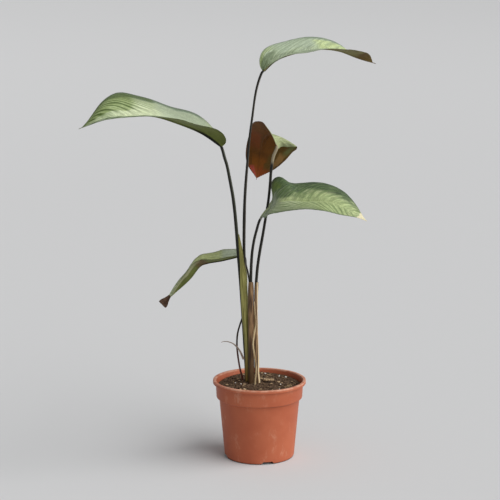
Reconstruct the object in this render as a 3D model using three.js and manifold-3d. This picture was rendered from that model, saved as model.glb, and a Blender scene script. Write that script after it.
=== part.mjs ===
// A potted prayer plant: five long-stalked leaves rise from one clump in a plastic nursery pot.
// Millimetres, +Z up. The origin is the middle of the pot's underside, on the surface it stands on.
// The plant is seen from -Y: the left leaf grows to -X, the right and top leaves to +X.
import * as THREE from "three";
import { mergeVertices } from "three/addons/utils/BufferGeometryUtils.js";
import Module from "manifold-3d";

const CLEARANCE = 0.3;
const POT_HEIGHT = 101;
const LIP_RADIUS = 60;
const LIP_DEPTH = 4.4;
const COLLAR_RADIUS = 56.4;
const COLLAR_BOTTOM = 79;
const BODY_TOP_RADIUS = 51.9;
const FOOT_RADIUS = 45.2;
const WALL = 1.5;
const FLOOR_UNDERSIDE = 3.6;
const FLOOR_TOP = 5.4;
const POT_SIDES = 48;
const NOTCH_COUNT = 4;
const FRONT_NOTCH_DEGREES = -76.5;
const DRAIN = { radius: 3.5, outer: 36, inner: 21 };
const SOIL_HEIGHT = 93;
const SOIL_TILT = 0.07;
const SOIL_RIM_RADIUS = 54;
const CLUMP = { x: -9, y: 6, rise: 2.2, reach: 15 };
const STEM_DEPTH = 60;
const BLADE_THICKNESS = 0.7;
const RIB_HALF_WIDTH = 1.3;
const RIB_DEPTH = 2;
const BLADE_ROWS = 22;

// Blades. The rib is a smooth curve through points from the stalk to the tip.
// left and right are the halves seen along the growth direction. Their values are given at even
// stations from base to tip: raise is the angle above the rib's level, curl what it gains to the
// margin, sweep how far it leans to the tip, all in degrees, and shape scales the half's width.
// A neck widens evenly from the base, before a half's own outline starts.
const BLADES = {
  left: {
    rib: [[-47, 2, 402], [-72, -9, 420], [-101, -20, 433], [-131, -35, 443], [-159, -51, 444],
      [-186, -67, 443], [-218, -74, 430]],
    outline: { start: 0, base: 0.17, taper: 0.59, power: 1.8, tail: 0.02 },
    right: { width: 33, raise: [38, 47, 46, 64, 29], curl: [-10, -17, -17], shape: [1.04, 0.86, 1.1, 0.94] },
    left: { width: 32, raise: [37, 17, 5, 3, -9], curl: [-15, -8, 2], shape: [0.81, 0.97, 1.07, 1.05] },
  },
  top: {
    rib: [[4, 8, 496], [21, 20, 510], [48, 30, 519], [77, 38, 523], [102, 51, 520], [126, 61, 511],
      [151, 77, 503]],
    outline: { start: 0, base: 0.32, taper: 0.51, power: 2.5, tail: 0.03 },
    right: { width: 28, raise: [24, 3, 3, 15, 62], curl: [5, -6, 1], shape: [0.9, 0.99, 0.99, 1.03] },
    left: { width: 26, raise: [65, 43, 36, 28, 17], curl: [-1, -2, -20], shape: [0.9, 0.89, 1.06, 0.99] },
  },
  back: {
    rib: [[22, 0, 402], [18, 7, 413], [15, 15, 417], [7, 35, 409], [1, 53, 383], [-4, 62, 353]],
    outline: { start: 0, base: 0.39, taper: 0.48, power: 2.2, tail: 0.02 },
    right: {
      width: 38, raise: [-39, -13, -19, -42, -13], curl: [-25, -27, -3], shape: [1.03, 1.11, 0.92, 1.04],
    },
    left: { width: 26, raise: [53, 51, 58, 40, -28], curl: [-5, -1, -14], shape: [0.75, 0.88, 0.94, 0.99] },
  },
  right: {
    rib: [[1, -8, 313], [14, -14, 324], [25, -23, 335], [55, -32, 337], [93, -43, 336], [131, -59, 316]],
    outline: { start: 0.03, base: 0.15, taper: 0.53, power: 1.6, tail: 0 },
    right: {
      width: 24, raise: [11, -22, -11, -10, -22, 9], curl: [-29, -17, -8], shape: [0.97, 0.91, 1.07, 0.98],
    },
    left: {
      width: 42, raise: [72, 62, 62, 45, 18, 3], curl: [-40, -35, -5], shape: [0.97, 1.06, 1.01, 1.02],
      sweep: [-35, -26, -40, -4, -10],
      outline: { start: 0.12, base: 0.2, taper: 0.53, power: 1.6, tail: 0 },
      neck: { slope: 75, end: 0.16 },
    },
  },
  low: {
    rib: [[-19, 22, 261], [-48, 25, 253], [-68, 37, 247], [-77, 40, 243], [-91, 44, 225], [-110, 49, 206],
      [-128, 48, 189]],
    outline: { start: 0, base: 0.22, taper: 0.41, power: 1.8, tail: 0.06 },
    flare: { from: 0.88, width: 5.8, turn: 0.62 },
    right: {
      width: 15, raise: [44, 47, 50, 50, 49, 57, 66, 76, 88], curl: [3, 0, 9],
      shape: [0.94, 0.98, 1.03, 1.06],
    },
    left: {
      width: 15, raise: [14, 14.5, 15, 20, 27, 33, 39, 12, -85], curl: [-3, 3, -13],
      shape: [1.02, 1.02, 0.96, 0.95],
    },
  },
};

// Leaf stalks from the soil up: the points of the axis, and the radius at even stations along it.
const STALKS = {
  left: {
    points: [[-16.4, 11.7, 95], [-18.8, 9.2, 142], [-21.6, 7.7, 188], [-23.5, 7.2, 217], [-25.3, 6.5, 242],
      [-27.5, 6, 269], [-29.8, 5, 300], [-31.9, 4.5, 323], [-34.1, 4, 340], [-36.3, 3.5, 352.5],
      [-38.6, 3.2, 365], [-41.3, 2.9, 378], [-44.3, 2.5, 388], [-47.2, 2.2, 398.6]],
    radii: [2.1, 2.1, 2.15, 2.15, 2.05, 1.75],
  },
  top: {
    points: [[-11.7, 12.3, 95], [-13.4, 9.8, 142], [-17, 8.2, 188], [-18.5, 7.8, 217], [-19.3, 7.2, 249],
      [-19.8, 7, 273], [-19.6, 7, 300], [-18.9, 7, 330], [-17.7, 7, 352], [-16, 7, 374], [-13, 7, 410],
      [-9, 7, 440.5], [-5.6, 7, 465.5], [-2.9, 7.2, 478], [0.6, 7.5, 489], [3.2, 7.8, 494.6]],
    radii: [1.9, 1.9, 1.9, 1.9, 1.95, 1.6, 1.35, 1.5],
  },
  back: {
    points: [[-1.8, 3, 95], [-3.2, 3, 110], [-3.6, 3, 128], [-4.5, 3, 145], [-5.3, 3, 178], [-5.1, 3.1, 205],
      [-4.1, 3.5, 229], [-2.3, 3.7, 249], [0.6, 4, 269], [4, 4.8, 288], [8, 6.4, 312], [11, 7.6, 331],
      [12.3, 6.8, 343], [13.4, 4.8, 356], [14.6, 2.4, 372], [17.5, 0, 390], [21.6, -0.6, 400.2]],
    radii: [1.8, 1.8, 1.85, 1.85, 1.75, 1.65, 1.9],
  },
  right: {
    points: [[-10.3, 2.5, 95], [-10.6, 2, 145], [-11, 1.5, 192], [-11.1, 0.6, 224], [-10.6, -0.6, 250],
      [-9.3, -2.2, 268], [-7.1, -3.8, 282.7], [-3.8, -5.6, 296.5], [0.4, -7.4, 310]],
    radii: [1.85, 1.85, 1.85, 1.8, 1.45],
  },
  low: {
    points: [[-22, 13, 97], [-25.2, 13, 111.6], [-28.3, 13, 132], [-29.1, 13.2, 145], [-28.2, 13.8, 158],
      [-25, 14.6, 170], [-18.6, 15.2, 188], [-14.7, 15.5, 202], [-12.6, 17.3, 220], [-14.7, 19.5, 237],
      [-17.3, 20.5, 247], [-18.6, 21.5, 257]],
    radii: [1.1, 1.1, 1.05, 1.05, 1.05],
  },
};

// Sheaths that wrap the stalks: a shell round an axis, from one angle to another, counter-clockwise
// from +X as seen from above. Every list gives values at even stations from the foot to the tip.
const SHEATHS = {
  green: {
    points: [[-13.8, 12, 95], [-15.5, 9.5, 142], [-18.9, 8, 188], [-20.6, 7.3, 217], [-21, 7.3, 233],
      [-22.1, 7.9, 252], [-23.9, 7.6, 270], [-25.2, 7.4, 280], [-26.4, 7.2, 290]],
    radii: [5.1, 5.1, 5.1, 5.1, 5.1, 5.1, 5.1, 5.1, 5.2, 5.4, 5.3, 5, 5],
    from: [-145, -145, -145, -142, -141, -140, -140, -139, -138, -136, -124, -116, -96],
    to: [80, 80, 80, 80, 80, 80, 80, 80, 70, 15, -57, -64, -84],
    rows: 32,
    columns: 9,
    colour: 0x7b8045,
  },
  brown: {
    points: [[-10.4, 2.5, 95], [-10.6, 2, 145], [-11, 1.5, 192], [-11, 0.8, 217], [-11, 0.4, 229]],
    radii: [3.8, 3.8, 3.8, 3.8, 3.8, 3.8, 3.8, 3.6],
    from: [-215, -215, -215, -215, -215, -215, -213, -150],
    to: [35, 35, 35, 35, 35, 35, 33, -35],
    rows: 16,
    columns: 7,
    colour: 0x6f5a40,
  },
  straw: {
    points: [[-1.8, 3, 95], [-3.3, 3, 110], [-3.6, 3, 128], [-4.6, 3, 145], [-5.4, 3, 178], [-5.2, 3.1, 205],
      [-4.2, 3.5, 228]],
    radii: [3.1, 3, 3, 3.1, 3.3, 3.4, 3.4, 3.3, 3.1, 3.05, 3.1],
    from: [-160, -160, -160, -158, -155, -130, -122, -118, -118, -118, -100],
    to: [120, 120, 120, 130, 140, 150, 150, 150, 130, 70, -20],
    rows: 24,
    columns: 10,
    colour: 0xb99a6b,
  },
  strip: {
    points: [[-5.7, -2.6, 93.5], [-4.3, -1.8, 118], [-6.6, -4.2, 134], [-8.2, -4.8, 149], [-6.5, -3.8, 163],
      [-4.5, -1.9, 176], [-5.8, -2.6, 190], [-6.5, -3.4, 204]],
    radii: [1.5, 1.3, 1.2, 1.2, 1.1, 1],
    from: [-150, -160, -150, -150, -160, -130],
    to: [-20, -30, -30, -20, -40, -60],
    rows: 22,
    columns: 3,
    colour: 0xd0b98a,
  },
};

// A dried end of an old sheath, standing off to the left.
const SLIVER = {
  rib: [[-20.3, 5.2, 125.8], [-26, 3, 138.9], [-32.5, 0.5, 146.8], [-38.9, -1.2, 150.4],
    [-45.4, -2.4, 151.4], [-49, -3, 150.4]],
  outline: { start: 0, base: 0.05, taper: 0.05, power: 0.9, tail: 0.02 },
  left: { width: 0.6, raise: [60, 70, 80], curl: [10, 20, 30], shape: [1, 1] },
  right: { width: 0.6, raise: [-60, -70, -75], curl: [-10, 10, 10], shape: [1, 1] },
};

const BARK_CHIP = { x: 11.5, y: 10, length: 14, width: 9, thickness: 2.6 };
const GRAINS = { count: 20, seed: 7, smallest: 1.2, largest: 2.3, reach: 47, sunk: 0.42 };
const PERLITE = { radius: 1.5, places: [[-31, 5], [27, 2], [26, 33], [35, 32], [8, 45]] };

const wasm = await Module();
wasm.setup();

const vector = ([x, y, z]) => new THREE.Vector3(x, y, z);
const radians = THREE.MathUtils.degToRad;
const clamp = THREE.MathUtils.clamp;

// A value at t from evenly spaced stations, on a smooth curve through them.
function along(stations, t) {
  const last = stations.length - 1;
  if (last < 1) return stations[0];
  const k = Math.min(Math.floor(t * last), last - 1);
  const f = t * last - k;
  const at = (i) => {
    if (i < 0) return 2 * stations[0] - stations[1];
    if (i > last) return 2 * stations[last] - stations[last - 1];
    return stations[i];
  };
  const [a, b, c, d] = [at(k - 1), at(k), at(k + 1), at(k + 2)];
  const linear = (c - a) * f;
  const square = (2 * a - 5 * b + 4 * c - d) * f * f;
  return 0.5 * (2 * b + linear + square + (3 * b - a - 3 * c + d) * f * f * f);
}

// Points at even steps along a smooth curve, with the direction at each.
function path(points, steps) {
  const curve = new THREE.CatmullRomCurve3(points.map(vector), false, "centripetal");
  const places = curve.getSpacedPoints(steps);
  return places.map((place, i) => ({
    place,
    direction: places[Math.min(i + 1, steps)].clone().sub(places[Math.max(i - 1, 0)]).normalize(),
  }));
}

function geometryOf(points, triangles) {
  const made = new THREE.BufferGeometry().setFromPoints(points);
  made.setIndex(triangles);
  return made;
}

// One closed solid between two grids of points, alike in size, joined round their edges.
function slab(upper, lower) {
  const rows = upper.length;
  const columns = upper[0].length;
  const points = [...upper.flat(), ...lower.flat()];
  const under = rows * columns;
  const triangles = [];
  for (let i = 0; i < rows - 1; i++)
    for (let j = 0; j < columns - 1; j++) {
      const [a, b] = [i * columns + j, i * columns + j + 1];
      const [c, d] = [b + columns, a + columns];
      triangles.push(a, b, c, a, c, d);
      triangles.push(under + a, under + c, under + b, under + a, under + d, under + c);
    }
  const edge = [];
  for (let j = 0; j < columns - 1; j++) edge.push([j, j + 1]);
  for (let i = 0; i < rows - 1; i++) edge.push([(i + 1) * columns - 1, (i + 2) * columns - 1]);
  for (let j = columns - 1; j > 0; j--) edge.push([(rows - 1) * columns + j, (rows - 1) * columns + j - 1]);
  for (let i = rows - 1; i > 0; i--) edge.push([i * columns, (i - 1) * columns]);
  for (const [a, b] of edge) triangles.push(a, under + b, b, a, under + a, under + b);
  return geometryOf(points, triangles);
}

// One closed solid through rings of points, with both ends closed by a point in the middle.
function loft(rings) {
  const sides = rings[0].length;
  const points = rings.flat();
  const triangles = [];
  for (let i = 0; i < rings.length - 1; i++)
    for (let j = 0; j < sides; j++) {
      const [a, b] = [i * sides + j, i * sides + ((j + 1) % sides)];
      triangles.push(a, b, b + sides, a, b + sides, a + sides);
    }
  const middle = (ring) => ring.reduce((sum, p) => sum.add(p), new THREE.Vector3()).divideScalar(sides);
  const foot = points.push(middle(rings[0])) - 1;
  const head = points.push(middle(rings.at(-1))) - 1;
  const top = (rings.length - 1) * sides;
  for (let j = 0; j < sides; j++) {
    const next = (j + 1) % sides;
    triangles.push(foot, next, j, head, top + j, top + next);
  }
  return geometryOf(points, triangles);
}

// A solid for cutting and joining, and the geometry of one.
function solid(geometry) {
  const bare = geometry.index ? geometry.toNonIndexed() : geometry.clone();
  bare.deleteAttribute("normal");
  bare.deleteAttribute("uv");
  const merged = mergeVertices(bare, 1e-4);
  const triVerts = [];
  const index = merged.index.array;
  for (let i = 0; i < index.length; i += 3) {
    const [a, b, c] = [index[i], index[i + 1], index[i + 2]];
    if (a !== b && b !== c && a !== c) triVerts.push(a, b, c);
  }
  return new wasm.Manifold(new wasm.Mesh({
    numProp: 3,
    vertProperties: merged.attributes.position.array,
    triVerts: new Uint32Array(triVerts),
  }));
}

function geometryFrom(body) {
  const mesh = body.getMesh();
  const made = new THREE.BufferGeometry();
  made.setAttribute("position", new THREE.BufferAttribute(mesh.vertProperties, 3));
  made.setIndex(new THREE.BufferAttribute(mesh.triVerts, 1));
  return made;
}

// A blade's half-width share at t: round at the base, full in the middle, pointed at the tip.
function outlineAt({ start, base, taper, power, tail }, t) {
  const s = clamp((t - start) / (1 - start), 0, 1);
  const rise = Math.sqrt(1 - (1 - clamp(s / base, 0, 1)) ** 2);
  const fall = 1 - clamp((s - taper) / (1 - tail - taper), 0, 1) ** power;
  return rise * fall;
}

// The dried end that spreads again past the neck of the low leaf.
function flareAt(flare, t) {
  if (!flare || t < flare.from) return 0;
  return flare.width * Math.sin(Math.PI * flare.turn * ((t - flare.from) / (1 - flare.from)) ** 1.3);
}

// Rows of points across the blade, from the left margin over the rib to the right margin.
function bladeSurface(leaf, rows) {
  return path(leaf.rib, rows).map(({ place, direction }, i) => {
    const t = i / rows;
    const right = direction.clone().cross(new THREE.Vector3(0, 0, 1)).normalize();
    const up = right.clone().cross(direction);
    const narrow = RIB_HALF_WIDTH * (1 - t) + 0.35 * t + flareAt(leaf.flare, t);
    const half = (side, sign) => {
      const outline = side.outline ?? leaf.outline;
      const full = side.width * outlineAt(outline, t) * along(side.shape, t);
      const neck = side.neck && t < side.neck.end ? side.neck.slope * t : 0;
      const width = narrow + Math.max(full, neck);
      const raise = radians(along(side.raise, t));
      const curl = radians(along(side.curl, t)) + 1e-6;
      const sweep = radians(along(side.sweep ?? [0], t));
      const ribShare = Math.min(0.25, 2.4 / width);
      const steps = [ribShare, ribShare + (1 - ribShare) * 0.3, ribShare + (1 - ribShare) * 0.66, 1];
      return steps.map((a) => {
        const out = (Math.sin(raise + curl * a) - Math.sin(raise)) / curl;
        const lift = (Math.cos(raise) - Math.cos(raise + curl * a)) / curl;
        return place.clone()
          .addScaledVector(right, sign * width * out * Math.cos(sweep))
          .addScaledVector(up, width * lift * Math.cos(sweep))
          .addScaledVector(direction, width * a * Math.sin(sweep));
      });
    };
    return [...half(leaf.left, -1).reverse(), place.clone(), ...half(leaf.right, 1)];
  });
}

function normals(grid) {
  const last = [grid.length - 1, grid[0].length - 1];
  return grid.map((row, i) => row.map((_, j) => {
    const ahead = grid[Math.min(i + 1, last[0])][j].clone().sub(grid[Math.max(i - 1, 0)][j]);
    const across = row[Math.min(j + 1, last[1])].clone().sub(row[Math.max(j - 1, 0)]);
    return across.cross(ahead).normalize();
  }));
}

function bladeGeometry(leaf, rows = BLADE_ROWS) {
  const upper = bladeSurface(leaf, rows);
  const out = normals(upper);
  const middle = (upper[0].length - 1) / 2;
  const lower = upper.map((row, i) => row.map((point, j) => {
    const width = row[0].distanceTo(row.at(-1));
    const keel = j === middle ? RIB_DEPTH * (1 - (0.8 * i) / rows) * Math.min(1, width / 12) : 0;
    return point.clone().addScaledVector(out[i][j], -BLADE_THICKNESS - keel);
  }));
  return slab(upper, lower);
}

// A round stalk that starts below the soil's surface. A hole for it is wider by the clearance, which
// its flats keep too, and ends just above the soil.
function stalkGeometry({ points, radii }, steps, sides, isHole = false) {
  const [x, y] = points[0];
  const gap = isHole ? CLEARANCE : 0;
  const axis = path([[x, y, STEM_DEPTH - gap], ...points], steps);
  const kept = isHole ? axis.filter(({ place }) => place.z < SOIL_HEIGHT + 10) : axis;
  return loft(kept.map(({ place, direction }, i) => {
    const radius = isHole ? (radii[0] + gap) / Math.cos(Math.PI / sides) : along(radii, i / steps);
    const side = new THREE.Vector3(0, 1, 0).cross(direction).normalize();
    const other = direction.clone().cross(side);
    return Array.from({ length: sides }, (_, k) => {
      const turn = (2 * Math.PI * k) / sides;
      return place.clone()
        .addScaledVector(side, radius * Math.cos(turn))
        .addScaledVector(other, radius * Math.sin(turn));
    });
  }));
}

function sheathGeometry({ points, radii, from, to, rows, columns }) {
  const [x, y] = points[0];
  const axis = path([[x, y, STEM_DEPTH], ...points], rows);
  const wall = (inset) => axis.map(({ place }, i) => {
    const t = i / rows;
    const radius = along(radii, t) - inset;
    return Array.from({ length: columns + 1 }, (_, j) => {
      const turn = radians(along(from, t) + ((along(to, t) - along(from, t)) * j) / columns);
      return place.clone().add(new THREE.Vector3(radius * Math.cos(turn), radius * Math.sin(turn), 0));
    });
  });
  return slab(wall(0), wall(BLADE_THICKNESS));
}

function lathe(profile) {
  const made = new THREE.LatheGeometry(profile.map(([r, z]) => new THREE.Vector2(r, z)), POT_SIDES);
  return made.rotateX(Math.PI / 2);
}

function potGeometry() {
  const collarInner = COLLAR_RADIUS - WALL - 0.1;
  let body = solid(lathe([
    [0, 0], [10, 0], [10.6, 0.5], [12, FLOOR_UNDERSIDE], [37, FLOOR_UNDERSIDE], [38, 0.4], [38.6, 0],
    [FOOT_RADIUS - 2, 0], [FOOT_RADIUS - 0.6, 0.7], [FOOT_RADIUS, 2.2],
    [BODY_TOP_RADIUS, COLLAR_BOTTOM - 2.6], [BODY_TOP_RADIUS + 0.6, COLLAR_BOTTOM - 1.6],
    [COLLAR_RADIUS - 1.4, COLLAR_BOTTOM - 0.8], [COLLAR_RADIUS - 0.9, COLLAR_BOTTOM],
    [COLLAR_RADIUS, POT_HEIGHT - LIP_DEPTH], [LIP_RADIUS - 0.7, POT_HEIGHT - LIP_DEPTH],
    [LIP_RADIUS, POT_HEIGHT - LIP_DEPTH + 0.8], [LIP_RADIUS, POT_HEIGHT - 0.9],
    [LIP_RADIUS - 0.8, POT_HEIGHT], [LIP_RADIUS - 3.2, POT_HEIGHT], [LIP_RADIUS - 4, POT_HEIGHT - 1],
    [collarInner, POT_HEIGHT - 6], [collarInner - 0.9, COLLAR_BOTTOM + 0.4],
    [BODY_TOP_RADIUS - WALL, COLLAR_BOTTOM - 2.6], [FOOT_RADIUS - WALL, FLOOR_TOP + 1],
    [FOOT_RADIUS - WALL - 1, FLOOR_TOP], [0, FLOOR_TOP],
  ]));
  const outline = new THREE.Shape([[-8, -1], [8, -1], [6, FLOOR_UNDERSIDE], [-6, FLOOR_UNDERSIDE]]
    .map(([x, y]) => new THREE.Vector2(x, y)));
  const notch = new THREE.ExtrudeGeometry(outline, { depth: 16, bevelEnabled: false })
    .rotateX(Math.PI / 2).translate(0, -34, 0);
  const drain = new THREE.CylinderGeometry(DRAIN.radius, DRAIN.radius, 12, 12).rotateX(Math.PI / 2);
  const outer = drain.clone().translate(0, -DRAIN.outer, FLOOR_TOP);
  const inner = drain.clone().translate(0, -DRAIN.inner, FLOOR_TOP).rotateZ(Math.PI / 4);
  for (let k = 0; k < NOTCH_COUNT; k++) {
    const turn = radians(FRONT_NOTCH_DEGREES + 90 + (360 * k) / NOTCH_COUNT);
    for (const cutter of [notch, outer, inner]) body = body.subtract(solid(cutter.clone().rotateZ(turn)));
  }
  return geometryFrom(body);
}

// The soil's level at a place: a slope up to the back, a low mound at the clump, crumbs all over,
// and a flat under the chip.
function soilLevel(x, y) {
  const mound = Math.exp(-((x - CLUMP.x) ** 2 + (y - CLUMP.y) ** 2) / (2 * CLUMP.reach ** 2));
  const crumbs = 0.5 * Math.sin(0.61 * x + 0.8) * Math.sin(0.53 * y + 0.3)
    + 0.35 * Math.sin(1.07 * x - 0.83 * y) + 0.25 * Math.sin(0.71 * x + 1.31 * y + 2);
  const chip = Math.exp(-(((x - BARK_CHIP.x) / 9) ** 4) - ((y - BARK_CHIP.y) / 7) ** 4);
  const radius = Math.hypot(x, y);
  const edge = clamp((SOIL_RIM_RADIUS - radius) / 6, 0, 1);
  return SOIL_HEIGHT - 1 + SOIL_TILT * y + edge + CLUMP.rise * mound + crumbs * (1 - chip) * edge;
}

function grain(x, y, size, spin) {
  const made = new THREE.IcosahedronGeometry(size, 0).scale(1, 0.8, 0.75).rotateZ(spin);
  return made.translate(x, y, soilLevel(x, y) + size * 0.75 * (1 - 2 * GRAINS.sunk));
}

// Crumbs at seeded random places and the few white grains, all sunk into the soil's surface.
function grains() {
  let state = GRAINS.seed;
  const random = () => {
    state = (state * 16807) % 2147483647;
    return state / 2147483647;
  };
  const made = PERLITE.places.map(([x, y]) => grain(x, y, PERLITE.radius, x));
  while (made.length < PERLITE.places.length + GRAINS.count) {
    const turn = 2 * Math.PI * random();
    const radius = GRAINS.reach * Math.sqrt(random());
    const size = GRAINS.smallest + (GRAINS.largest - GRAINS.smallest) * random() ** 2;
    const spin = 6 * random();
    const [x, y] = [radius * Math.cos(turn), radius * Math.sin(turn)];
    const nearClump = Math.hypot(x - CLUMP.x, y - CLUMP.y) < 19;
    const nearChip = Math.hypot(x - BARK_CHIP.x, y - BARK_CHIP.y) < 12;
    if (!nearClump && !nearChip) made.push(grain(x, y, size, spin));
  }
  return made;
}

function soilGeometry() {
  const sides = POT_SIDES;
  const bodyTop = BODY_TOP_RADIUS - WALL - CLEARANCE;
  const below = [[0.4, FLOOR_TOP + CLEARANCE], [FOOT_RADIUS - WALL - 1.5, FLOOR_TOP + CLEARANCE],
    [bodyTop, COLLAR_BOTTOM - 2.4], [COLLAR_RADIUS - WALL - 1.4, COLLAR_BOTTOM + 1.4]];
  const ring = (radius, height) => Array.from({ length: sides }, (_, k) => {
    const turn = (2 * Math.PI * k) / sides;
    const [x, y] = [radius * Math.cos(turn), radius * Math.sin(turn)];
    return new THREE.Vector3(x, y, height ?? soilLevel(x, y));
  });
  const rings = below.map(([r, z]) => ring(r, z));
  const steps = 9;
  for (let k = 0; k < steps; k++) rings.push(ring(SOIL_RIM_RADIUS * (1 - k / steps)));
  let body = solid(loft(rings));
  for (const each of grains()) body = body.add(solid(each));
  const standing = [SHEATHS.green, SHEATHS.brown, SHEATHS.straw, STALKS.low, SHEATHS.strip];
  for (const stalk of standing) body = body.subtract(solid(stalkGeometry(stalk, 24, 12, true)));
  return geometryFrom(body);
}

function chipGeometry() {
  const { length, width, thickness } = BARK_CHIP;
  const corners = [[-0.5, -0.1], [-0.28, -0.5], [0.2, -0.42], [0.5, -0.12], [0.42, 0.3], [0.05, 0.5],
    [-0.4, 0.32]];
  const shape = new THREE.Shape(corners.map(([x, y]) => new THREE.Vector2(x * length, y * width)));
  const bevel = 0.6;
  const made = new THREE.ExtrudeGeometry(shape, {
    depth: thickness - 2 * bevel,
    bevelThickness: bevel,
    bevelSize: bevel,
    bevelOffset: -bevel,
    bevelSegments: 1,
  });
  return made.translate(0, 0, bevel);
}

const material = (color, roughness) => new THREE.MeshStandardMaterial({ color, roughness, metalness: 0 });
const terracotta = material(0xb06a4a, 0.55);
const earth = material(0x3a2a22, 0.95);
const bark = material(0xb59a78, 0.9);
const foliage = material(0x9db07a, 0.45);
const brownFoliage = material(0x5b351c, 0.45);
const stalkGreen = material(0x24251c, 0.4);
const stalkRed = material(0x5a2f28, 0.5);

const plant = new THREE.Group();

function add(name, geometry, look) {
  const mesh = new THREE.Mesh(geometry, look);
  mesh.name = name;
  plant.add(mesh);
  return mesh;
}

add("pot", potGeometry(), terracotta);
add("soil", soilGeometry(), earth);
const chip = add("bark_chip", chipGeometry(), bark);
chip.position.set(BARK_CHIP.x, BARK_CHIP.y, soilLevel(BARK_CHIP.x, BARK_CHIP.y) + 1.5);
chip.rotation.set(radians(-2), radians(-4), radians(-18));

for (const [name, leaf] of Object.entries(BLADES))
  add("blade_" + name, bladeGeometry(leaf), name === "back" ? brownFoliage : foliage);
for (const [name, stalk] of Object.entries(STALKS)) {
  const steps = name === "low" ? 24 : 20;
  add("petiole_" + name, stalkGeometry(stalk, steps, 8), name === "low" ? stalkRed : stalkGreen);
}
for (const [name, sheath] of Object.entries(SHEATHS))
  add("sheath_" + name, sheathGeometry(sheath), material(sheath.colour, 0.6));
add("sheath_sliver", bladeGeometry(SLIVER, 10), material(0x8c7c70, 0.8));

export default plant;
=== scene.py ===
"""A potted prayer plant: five striped leaves on long dark stalks in a terracotta-coloured nursery pot.

Metres, +Z up, the origin under the middle of the pot. Sizes in the tables are millimetres, as on the
solids that the pieces replace. Every surface is a grid of points worked out with numpy.
"""
import math

import bmesh
import bpy
import numpy as np
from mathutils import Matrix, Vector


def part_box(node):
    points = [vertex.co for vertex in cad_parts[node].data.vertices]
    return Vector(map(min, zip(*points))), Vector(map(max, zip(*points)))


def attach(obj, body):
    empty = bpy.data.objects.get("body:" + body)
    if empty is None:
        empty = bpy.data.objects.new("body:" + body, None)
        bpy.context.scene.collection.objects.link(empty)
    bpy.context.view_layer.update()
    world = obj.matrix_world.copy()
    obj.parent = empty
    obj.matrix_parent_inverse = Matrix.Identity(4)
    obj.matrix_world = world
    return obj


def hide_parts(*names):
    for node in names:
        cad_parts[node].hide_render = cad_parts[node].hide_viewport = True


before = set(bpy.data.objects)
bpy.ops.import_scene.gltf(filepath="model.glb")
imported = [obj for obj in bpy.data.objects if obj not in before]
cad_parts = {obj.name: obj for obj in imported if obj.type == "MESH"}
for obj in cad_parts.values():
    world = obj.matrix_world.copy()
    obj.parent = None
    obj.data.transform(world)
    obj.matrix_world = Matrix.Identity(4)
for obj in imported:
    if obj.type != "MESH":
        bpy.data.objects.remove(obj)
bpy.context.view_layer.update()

MM = 0.001


def half_blade(width, rise, curl, shape, **more):
    """The numbers of one half of a blade, by name."""
    return {"width": width, "raise": rise, "curl": curl, "shape": shape, **more}


# Leaf blades. The rib runs from the stalk to the tip. The outline is as in outline_at. Each half has a
# width and, at even stations from base to tip: the angle above the rib's level; curl, what that gains
# to the margin; shape, which scales the width; and sweep, how far it leans to the tip, in degrees.
# A neck is a least width near the base: its slope and its end. A flare widens the rib at the tip.
BLADES = {
    "left": {
        "rib": [[-47, 2, 402], [-72, -9, 420], [-101, -20, 433], [-131, -35, 443], [-159, -51, 444],
                [-186, -67, 443], [-218, -74, 430]],
        "outline": (0, 0.17, 0.59, 1.8, 0.02),
        "right": half_blade(33, [38, 47, 46, 64, 29], [-10, -17, -17], [1.04, 0.86, 1.1, 0.94]),
        "left": half_blade(32, [37, 17, 5, 3, -9], [-15, -8, 2], [0.81, 0.97, 1.07, 1.05]),
    },
    "top": {
        "rib": [[4, 8, 496], [21, 20, 510], [48, 30, 519], [77, 38, 523], [102, 51, 520], [126, 61, 511],
                [151, 77, 503]],
        "outline": (0, 0.32, 0.51, 2.5, 0.03),
        "right": half_blade(28, [24, 3, 3, 15, 62], [5, -6, 1], [0.9, 0.99, 0.99, 1.03]),
        "left": half_blade(26, [65, 43, 36, 28, 17], [-1, -2, -20], [0.9, 0.89, 1.06, 0.99]),
    },
    "back": {
        "rib": [[22, 0, 402], [18, 7, 413], [15, 15, 417], [7, 35, 409], [1, 53, 383], [-4, 62, 353]],
        "outline": (0, 0.39, 0.48, 2.2, 0.02),
        "right": half_blade(38, [-39, -13, -19, -42, -13], [-25, -27, -3], [1.03, 1.11, 0.92, 1.04]),
        "left": half_blade(26, [53, 51, 58, 40, -28], [-5, -1, -14], [0.75, 0.88, 0.94, 0.99]),
    },
    "right": {
        "rib": [[1, -8, 313], [14, -14, 324], [25, -23, 335], [55, -32, 337], [93, -43, 336],
                [131, -59, 316]],
        "outline": (0.03, 0.15, 0.53, 1.6, 0),
        "right": half_blade(24, [11, -22, -11, -10, -22, 9], [-29, -17, -8], [0.97, 0.91, 1.07, 0.98]),
        "left": half_blade(42, [72, 62, 62, 45, 18, 3], [-40, -35, -5], [0.97, 1.06, 1.01, 1.02],
                           sweep=[-35, -26, -40, -4, -10], outline=(0.12, 0.2, 0.53, 1.6, 0),
                           neck=(75, 0.16)),
    },
    "low": {
        "rib": [[-19, 22, 261], [-48, 25, 253], [-68, 37, 247], [-77, 40, 243], [-91, 44, 225],
                [-110, 49, 206], [-128, 48, 189]],
        "outline": (0, 0.22, 0.41, 1.8, 0.06),
        "flare": (0.88, 5.8, 0.62),
        "right": half_blade(15, [44, 47, 50, 50, 49, 57, 66, 76, 88], [3, 0, 9], [0.94, 0.98, 1.03, 1.06]),
        "left": half_blade(15, [14, 14.5, 15, 20, 27, 33, 39, 12, -85], [-3, 3, -13],
                           [1.02, 1.02, 0.96, 0.95]),
    },
}

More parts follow.
